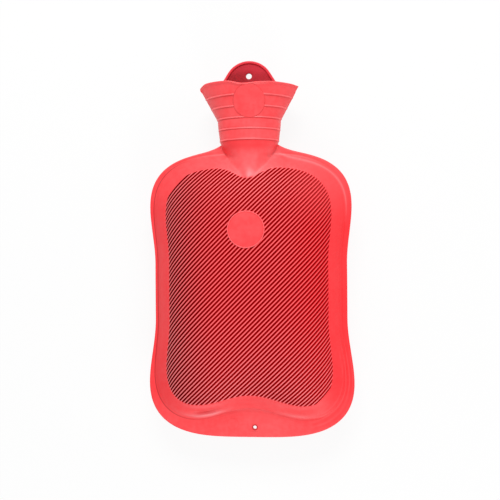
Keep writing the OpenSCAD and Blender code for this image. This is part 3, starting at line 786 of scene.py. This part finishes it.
class Shade(Socket):
    """A socket of a material's or the world's tree."""

    COLOUR_A, COLOUR_B, COLOUR_OUT = 6, 7, 2

    @classmethod
    def start(cls, name, colour, roughness, **constants):
        material = bpy.data.materials.new(name)
        material.use_nodes = True
        cls.tree = material.node_tree
        surface = cls.tree.nodes["Principled BSDF"]
        surface.inputs["Base Color"].default_value = (*colour, 1)
        surface.inputs["Roughness"].default_value = roughness
        for key, value in constants.items():
            surface.inputs[key.replace("_", " ")].default_value = value
        return material, surface

    @classmethod
    def place(cls):
        return cls(cls.node("ShaderNodeTexCoord").outputs["Object"])

    def feed(self, node, name):
        self.tree.links.new(self.socket, node.inputs[name])

    def tint(self, first, second):
        """A colour from first to second as this number goes from 0 to 1."""
        made = self.node("ShaderNodeMix", {"data_type": "RGBA"}, Factor=self)
        for slot, value in ((self.COLOUR_A, first), (self.COLOUR_B, second)):
            if isinstance(value, Shade):
                self.tree.links.new(value.socket, made.inputs[slot])
            else:
                made.inputs[slot].default_value = (*value, 1)
        return Shade(made.outputs[self.COLOUR_OUT])


def noise(scale, detail, rough=0.5):
    made = Shade.node("ShaderNodeTexNoise", Scale=scale, Detail=detail, Roughness=rough,
                      Vector=Shade.place())
    return Shade(made.outputs[0])


def bump(height, distance, strength):
    made = Shade.node("ShaderNodeBump", Height=height, Distance=distance, Strength=strength)
    return Shade(made.outputs[0])


def attribute(name):
    return Shade(Shade.node("ShaderNodeAttribute", {"attribute_name": name}).outputs["Fac"])


def circle_line(x, y, z, centre, radius, half):
    """1 on a fine circle on the front, and 0 away from it."""
    off_x, off_y = x - centre[0], y - centre[1]
    off = (off_x.maths("POWER", 2.0) + off_y.maths("POWER", 2.0)).maths("SQRT")
    line = (off - radius).maths("ABSOLUTE").fade(0.25 * half, half)
    return line * z.ramp(MID_Z, MID_Z + 1.0)


def ring_lines(y):
    """1 on the fine lines of painted shade below and above each ring of the neck."""
    turn = (attribute("along") - FIRST_RING_Y) * (1 / RING_GAP)
    off = (turn - turn.maths("ROUND")) * RING_GAP
    beside = (off.ramp(-1.7, -0.9) * off.fade(-0.6, -0.2)
              + off.ramp(0.9, 1.3) * off.fade(1.4, 2.1) * RING_SHADE_ABOVE)
    on_neck = y.ramp(RINGS_FROM, RINGS_FROM + 0.6) * y.fade(RINGS_UNTIL - 1.0, RINGS_UNTIL)
    return beside * attribute("bead") * on_neck


def rubber_finish():
    material, surface = Shade.start("red_rubber", RUBBER, 0.46, Specular_IOR_Level=0.05,
                                    Coat_Roughness=0.45)
    x, y, z = Shade.place().millimetres()
    cloud = noise(CLOUD_SCALE, 4.0, 0.6).ramp(0.35, 0.7)
    mottle = noise(MOTTLE_SCALE, 3.0, 0.5).ramp(0.3, 0.7)
    groove, bead, panel, inside, crest = (
        attribute(k) for k in ("groove_shade", "ring_bead", "panel", "from_foot", "crest"))
    from_middle = x.maths("ABSOLUTE")

    # Where on the bottle: its sides, the wedge at the neck's root, and the upper right corner,
    # which takes a painted sheen.
    left, right = x.fade(-95.0, -25.0), x.ramp(20.0, 95.0)
    wedge = from_middle.fade(20.0, 36.0) * y.ramp(100.0, 118.0)
    under_ring = wedge * y.ramp(131.0, 138.0) * y.fade(142.0, 144.0)
    off_neck = 1 - from_middle.fade(26.0, 34.0) * y.ramp(90.0, 100.0)
    upper_right_sheen = x.ramp(25.0, 75.0) * y.ramp(55.0, 105.0) * 0.3

    # The bloom mixed with painted sheen, paler at the bottom and the top and less at the sides;
    # painted highlights on the lands, beads, rolls and creases; a deeper red below the lowest
    # ring; and painted shade in crimson on the grooves.
    bloom_and_sheen = (y.ramp(-130.0, -90.0, 0.8, 0.6) + y.ramp(80.0, 140.0, 0.0, 0.22)
             - right * 0.4 - left * 0.2 + wedge * y.fade(126.0, 134.0) * 0.3)
    rubber = (bloom_and_sheen * (0.3 + cloud * 0.3 + mottle * 0.2)).tint(RUBBER, RUBBER_BLOOM_SHEEN)
    # Painted highlight on the rib lands: paler low down and on the left, less on the right.
    land = panel * (y.ramp(-100.0, 0.0, 0.95, 0.5) + left * 0.4 - right * 0.3)
    # The lands, beads, rolls and creases take the painted highlight, greyer on the left of the
    # panel.
    highlighted = land.maths("MAXIMUM", bead * 0.4).maths("MAXIMUM", crest)
    highlighted = highlighted.tint(rubber, (left * panel).tint(RUBBER_HIGHLIGHT, RUBBER_GREY_HIGHLIGHT))
    redder = (under_ring * x.ramp(5.0, 25.0, 0.6, 0.3)).tint(highlighted, RUBBER_RED)
    crimson = groove.ramp(0.0, 0.35).tint(redder, RUBBER_CRIMSON)

    # Painted shade in fine dark lines: round the cushion's foot, darker on the left, round the
    # plates, the mould mark and the hole, and beside the rings.
    foot = inside.maths("ABSOLUTE").fade(0.2, 0.9) * off_neck
    circles = (circle_line(x, y, z, (DISC_X, DISC_Y), DISC_R + 0.35, 0.7)
               + circle_line(x, y, z, (BADGE_X, BADGE_Y), BADGE_R - 1.5, LINE_HALF))
    mark = circle_line(x, y, z, MOULD_MARK, MARK_R, LINE_HALF)
    hole = circle_line(x, y, z, (HANG_X, HANG_Y), HANG_R + 0.45, 1.1)
    painted_shade_lines = (foot * left.ramp(0.0, 1.0, FOOT_SHADE_RIGHT, FOOT_SHADE) + circles * CIRCLE_SHADE
             + mark * MARK_SHADE + hole * HOLE_SHADE + ring_lines(y) * RING_SHADE)
    # Painted shade: the grooves darken from crimson to nearly black on the left, and less on the
    # right.
    sunk = groove.ramp(0.25, 0.85) * (1 - right * 0.45)
    deep = sunk.maths("MAXIMUM", painted_shade_lines.maths("MINIMUM", MOST_SHADE))
    dark = deep.tint(crimson, left.tint(RUBBER_DEEP, RUBBER_DARK))
    # Painted sheen over the upper right corner, in the pale colour of the bloom.
    upper_right_sheen.tint(dark, RUBBER_BLOOM_SHEEN).feed(surface, "Base Color")

    # Sheen of the bloom, dull grooves, and a moulded skin with flow lines on the flange.
    (bloom_and_sheen * (1 - groove.ramp(0.0, 0.3)) * 0.9).feed(surface, "Coat Weight")
    (0.42 + mottle * 0.1 + groove * 0.25).feed(surface, "Roughness")
    waves = (inside * 1.9 + cloud * 1.5).maths("SINE") * inside.fade(0.0, 12.0) * off_neck
    height = (noise(PORE_SCALE, 2.0) * 0.6 + noise(GRAIN_SCALE, 2.0) * 0.5 + waves * 1.2
              - circles - mark)
    bump(height, GRAIN_DEPTH, RUBBER_BUMP).feed(surface, "Normal")
    return material


bladder = through_tree("bladder_skin", skin.mesh("bladder_skin"), mould_relief(rubber_finish()), {
    "Rib pitch": RIB_PITCH, "Rib land": RIB_LAND, "Groove depth": RIB_DEPTH,
    "First ring": FIRST_RING_Y, "Ring gap": RING_GAP, "Ring height": RING_H})
bladder.data.shade_smooth()
bladder.data.set_sharp_from_angle(angle=RUBBER_SHARP)
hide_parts("bladder")
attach(bladder, "bottle")

# Stopper: injection-moulded ruby plastic, screwed down in the neck. A hollow threaded shank and
# a collar carry a flat handle with lobes at its sides, a raised rim and an eye.
SHANK_R, SHANK_LEN, SHANK_WALL, SHANK_FLOOR = 10.9, 20.0, 3.5, 4.0
THREAD_PITCH, THREAD_DEPTH, THREAD_LEAD = 3.5, 1.1, 1.5
COLLAR_R, COLLAR_T, COLLAR_Y = 13.5, 3.0, SEAT_Y + 2.5
HANDLE_R, LOBE_OUT, LOBE_R, STEM_HALF = 23.6, 27.0, 5.0, 11.0
HANDLE_Y = COLLAR_Y + COLLAR_T + 31.4
HANDLE_T, WEB_T, RIM_W = 5.0, 2.6, 2.6
HANDLE_FAR, HANDLE_STEPS = 60.0, 30
EYE_Y, EYE_R, EYE_EDGE, EYE_SIDES = HANDLE_Y + 9.2, 2.8, 0.35, 40
ROD_SIDES, HANDLE_SIDES, LEAN_SIDES, TURN_STEP = 96, 240, 180, 0.3
stopper_skin = Skin(rim=0.0)
rod_turn = np.linspace(0, 2 * math.pi, ROD_SIDES, endpoint=False)
collar_top, shank_end = COLLAR_Y + COLLAR_T, COLLAR_Y - SHANK_LEN
rod_profile = [(COLLAR_R - 0.6, collar_top), (COLLAR_R - 0.2, collar_top - 0.15),
               (COLLAR_R, collar_top - 0.6), (COLLAR_R, COLLAR_Y + 0.4),
               (COLLAR_R - 0.4, COLLAR_Y), (SHANK_R, COLLAR_Y)]
rod_profile += [(SHANK_R, y) for y in np.arange(COLLAR_Y - TURN_STEP, shank_end + 0.6, -TURN_STEP)]
rod_profile += [(SHANK_R - 0.5, shank_end), (SHANK_R - SHANK_WALL, shank_end),
                (SHANK_R - SHANK_WALL, COLLAR_Y - SHANK_FLOOR)]
rod = []
for r, y in rod_profile:
    x, z = r * np.cos(rod_turn), MID_Z + r * np.sin(rod_turn)
    rod.append(stopper_skin.add(np.stack([x, np.full(ROD_SIDES, y), z], axis=1)))
for upper, lower in zip(rod, rod[1:]):
    stopper_skin.band(lower, upper)
stopper_skin.fan(rod[0], stopper_skin.add([[0.0, collar_top, MID_Z]])[0])
stopper_skin.fan(rod[-1][::-1], stopper_skin.add([[0.0, COLLAR_Y - SHANK_FLOOR, MID_Z]])[0])


def handle_inside(x, y):
    """Distance inside the edge of the handle and its stem, at a place in its plane."""
    lean = np.linspace(0, 2 * math.pi, LEAN_SIDES, endpoint=False)
    out = np.maximum(HANDLE_R, np.abs(np.cos(lean)) * (LOBE_OUT - LOBE_R) + LOBE_R)
    head = out - (x[:, None] * np.cos(lean) + (y[:, None] - HANDLE_Y) * np.sin(lean))
    along = np.minimum(y - COLLAR_Y - COLLAR_T / 2, HANDLE_Y - y)
    return np.maximum(head.min(axis=1), np.minimum(STEM_HALF - np.abs(x), along))


def handle_ring(inset, z):
    near, far = np.zeros(HANDLE_SIDES), np.full(HANDLE_SIDES, HANDLE_FAR)
    across, up = np.cos(handle_turn), np.sin(handle_turn)
    for _ in range(HANDLE_STEPS):
        r = (near + far) / 2
        inside = handle_inside(r * across, HANDLE_Y + r * up) > inset
        near, far = np.where(inside, r, near), np.where(inside, far, r)
    ring = np.stack([near * across, HANDLE_Y + near * up, np.full(HANDLE_SIDES, MID_Z + z)], axis=1)
    return stopper_skin.add(ring, rim=1.0 if inset < RIM_W else 0.0)


handle_turn = np.linspace(0, 2 * math.pi, HANDLE_SIDES, endpoint=False)
half_t, half_web = HANDLE_T / 2, WEB_T / 2
rim_profile = [(0.0, 0.0), (0.0, half_t - 0.9), (0.12, half_t - 0.45), (0.4, half_t - 0.12),
               (0.8, half_t), (RIM_W - 0.7, half_t), (RIM_W - 0.35, half_t - 0.12),
               (RIM_W - 0.1, half_t - 0.45), (RIM_W, half_web + 0.25),
               (RIM_W + 0.2, half_web + 0.05), (RIM_W + 0.5, half_web)]
rim_profile += [(inset, half_web) for inset in (4.0, 5.5, 7.0, 8.5)]
for sign in (1, -1):
    rings = [handle_ring(inset, sign * z) for inset, z in rim_profile]
    last = np.concatenate(stopper_skin.points)[rings[-1]]
    centre = np.array([0.0, HANDLE_Y, MID_Z + sign * half_web])
    for share in (0.8, 0.6, 0.4, 0.2):
        rings.append(stopper_skin.add(mix(centre, last, share)))
    for outer, inner in zip(rings, rings[1:]):
        stopper_skin.band(*((outer, inner) if sign > 0 else (inner, outer)))
    middle = stopper_skin.add([centre])[0]
    stopper_skin.fan(rings[-1] if sign > 0 else rings[-1][::-1], middle)
stopper_skin.drill(0.0, EYE_Y, EYE_R, rounding=EYE_EDGE, sides=EYE_SIDES)


def screw_thread(material):
    """Turns of a thread cut into the shank, so that the crests stay on its surface."""
    size = Field.start("screw_thread", "Pitch", "Depth", "Start", "End", "Radius")
    x, y, z = Field.place().millimetres()
    angle = (z - MID_Z).maths("ARCTAN2", x) * (1 / (2 * math.pi))
    turn = (y / size["Pitch"] + angle + 4.0).maths("FRACT")
    cut = (turn - 0.5).maths("ABSOLUTE").fade(0.12, 0.34)
    radius = (x.maths("POWER", 2.0) + (z - MID_Z).maths("POWER", 2.0)).maths("SQRT")
    on_shank = (radius - size["Radius"]).maths("ABSOLUTE").maths("LESS_THAN", 0.1)
    run = (y - size["Start"]).ramp(0.0, THREAD_LEAD) * (size["End"] - y).ramp(0.0, THREAD_LEAD)
    return Field.end(size["Geometry"].lifted(cut * run * on_shank * size["Depth"] * -1), material)


RUBY = (0.35, 0.005, 0.012)
RUBY_DARK, RUBY_LIGHT = (0.24, 0.000, 0.006), (0.46, 0.010, 0.020)
RUBY_LIT_WEB, RUBY_RIM_HIGHLIGHT = (0.57, 0.018, 0.036), (0.84, 0.045, 0.065)
RUBY_GRAIN, RUBY_PATCHES, RUBY_DEPTH, RUBY_BUMP = 900.0, 60.0, 0.00014, 0.6
RUBY_SHARP = math.radians(50)


def ruby_finish():
    """Grainy ruby plastic, with a painted highlight on its rim and painted light on the web, paler
    towards the top and right.
    """
    material, surface = Shade.start("ruby_plastic", RUBY, 0.4, Specular_IOR_Level=0.2)
    grain = noise(RUBY_GRAIN, 3.0, 0.7)
    patch = noise(RUBY_PATCHES, 3.0, 0.6)
    x, y, _ = Shade.place().millimetres()
    # Painted light: the web is paler towards the top and the right.
    web_light = x.ramp(-8.0, 10.0) * 0.4 + y.ramp(HANDLE_Y + 8.0, HANDLE_Y + 17.0) * 0.75
    web_light = (web_light * (0.7 + grain * 0.6)).maths("MINIMUM", 1.0)
    web = (grain.ramp(0.35, 0.7) * 0.6 + patch * 0.4).tint(RUBY_DARK, RUBY_LIGHT)
    web = web_light.tint(web, RUBY_LIT_WEB)
    # Painted highlight on the raised rim.
    (attribute("rim") * 0.85).tint(web, RUBY_RIM_HIGHLIGHT).feed(surface, "Base Color")
    (0.34 + grain * 0.2).feed(surface, "Roughness")
    bump(grain, RUBY_DEPTH, RUBY_BUMP).feed(surface, "Normal")
    return material


thread = screw_thread(ruby_finish())
stopper = through_tree("stopper_body", stopper_skin.mesh("stopper_body"), thread, {
    "Pitch": THREAD_PITCH, "Depth": THREAD_DEPTH, "Start": shank_end, "End": COLLAR_Y - THREAD_LEAD,
    "Radius": SHANK_R})
stopper.data.shade_smooth()
stopper.data.set_sharp_from_angle(angle=RUBY_SHARP)
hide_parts("stopper")
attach(stopper, "stopper")

# Neck insert and sealing washer, deep in the funnel: a threaded bush of pale moulded plastic
# that the neck is moulded round, and a plain ring of black rubber that the collar presses.
INSERT_COLOUR, INSERT_ROUGH, INSERT_GRAIN = (0.68, 0.64, 0.56), 0.45, 700.0
WASHER_COLOUR, WASHER_ROUGH, WASHER_GRAIN = (0.02, 0.02, 0.022), 0.6, 1200.0
PALER, PLAIN_DEPTH, PLAIN_BUMP = 1.25, 0.00006, 0.5


def plain_finish(name, colour, roughness, grain_scale):
    material, surface = Shade.start(name, colour, roughness)
    grain = noise(grain_scale, 3.0, 0.6)
    pale = tuple(min(1.0, c * PALER) for c in colour)
    grain.ramp(0.3, 0.7).tint(colour, pale).feed(surface, "Base Color")
    (roughness + grain * 0.1).feed(surface, "Roughness")
    bump(grain, PLAIN_DEPTH, PLAIN_BUMP).feed(surface, "Normal")
    return material


def refinish(node, finish):
    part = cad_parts[node]
    part.data.materials.clear()
    part.data.materials.append(finish)


refinish("neck_insert", plain_finish("insert_plastic", INSERT_COLOUR, INSERT_ROUGH, INSERT_GRAIN))
refinish("sealing_washer", plain_finish("washer_rubber", WASHER_COLOUR, WASHER_ROUGH, WASHER_GRAIN))

# Stage: a plain white floor at the level that the bottle lies on, which shows white to the
# camera and to reflections and keeps a soft shadow.
FLOOR_HALF, FLOOR_GREY, FLOOR_SEEN = 3.0, 0.86, 0.9


def seen_directly():
    """1 where the camera, a reflection or a clear piece looks at the stage, and 0 for its light."""
    rays = Shade.node("ShaderNodeLightPath")
    seen = (Shade(rays.outputs["Is Camera Ray"]) + Shade(rays.outputs["Is Glossy Ray"])
            + Shade(rays.outputs["Is Transmission Ray"]))
    return seen.maths("MINIMUM", 1.0)


def stage_finish():
    material, surface = Shade.start("stage_white", (FLOOR_GREY,) * 3, 0.9, Specular_IOR_Level=0.1)
    glow = Shade.node("ShaderNodeEmission", Color=(1, 1, 1, 1), Strength=1.0)
    blend = Shade.node("ShaderNodeMixShader", i0=seen_directly() * FLOOR_SEEN,
                       i1=Shade(surface.outputs[0]), i2=Shade(glow.outputs[0]))
    Shade(blend.outputs[0]).feed(material.node_tree.nodes["Material Output"], "Surface")
    return material


floor_mesh = bpy.data.meshes.new("floor")
corners = [(-1, -1), (1, -1), (1, 1), (-1, 1)]
floor_mesh.from_pydata([(FLOOR_HALF * x, FLOOR_HALF * y, 0) for x, y in corners], [],
                       [(0, 1, 2, 3)])
floor = bpy.data.objects.new("floor", floor_mesh)
bpy.context.scene.collection.objects.link(floor)
floor_mesh.materials.append(stage_finish())

# Light: one broad soft lamp beyond the mouth, a weaker and lower one beyond the hips, a little
# to the right, and a pale world that looks white behind the floor.
WORLD_LIGHT = 0.5
world = bpy.data.worlds.new("studio")
bpy.context.scene.world = world
world.use_nodes = True
Shade.tree = world.node_tree
sky = world.node_tree.nodes["Background"]
sky.inputs["Color"].default_value = (1, 1, 1, 1)
(WORLD_LIGHT + seen_directly() * (1 - WORLD_LIGHT)).feed(sky, "Strength")


def lamp(name, at, toward, size, power):
    """A soft rectangular lamp in the scene, in metres, turned to a place."""
    data = bpy.data.lights.new(name, "AREA")
    data.shape = "RECTANGLE"
    data.size, data.size_y = size
    data.energy = power
    made = bpy.data.objects.new(name, data)
    bpy.context.scene.collection.objects.link(made)
    made.location = at
    aim = Vector(toward) - Vector(at)
    made.rotation_euler = aim.to_track_quat("-Z", "Y").to_euler()


lamp("key", at=(0.0, 1.1, 0.95), toward=(0.0, 0.03, 0.03), size=(0.8, 0.5), power=14.0)
lamp("fill", at=(0.4, -1.1, 0.6), toward=(0.0, -0.03, 0.03), size=(0.6, 0.35), power=7.5)

# Camera: above the lying bottle, a little to its right, with the mouth at the top of the
# frame. The lens gives the photograph's scale at the height of the flange.
FRAME_PX, MM_PER_PX, SENSOR_W = 500, 0.961, 36.0
CAMERA_FAR = 725.0
CAMERA_SWING, CAMERA_ROLL = math.radians(4.5), math.radians(-0.42)
AIM = (-0.22, 38.9, MID_Z)
eye = bpy.data.cameras.new("camera")
eye.sensor_width = SENSOR_W
eye.lens = SENSOR_W * CAMERA_FAR / (FRAME_PX * MM_PER_PX)
camera = bpy.data.objects.new("camera", eye)
bpy.context.scene.collection.objects.link(camera)
camera.location = ((AIM[0] + CAMERA_FAR * math.sin(CAMERA_SWING)) * MM, AIM[1] * MM,
                   (AIM[2] + CAMERA_FAR * math.cos(CAMERA_SWING)) * MM)
camera.rotation_euler = (0.0, CAMERA_SWING, CAMERA_ROLL)
bpy.context.scene.camera = camera
bpy.context.scene.view_settings.view_transform = "Standard"
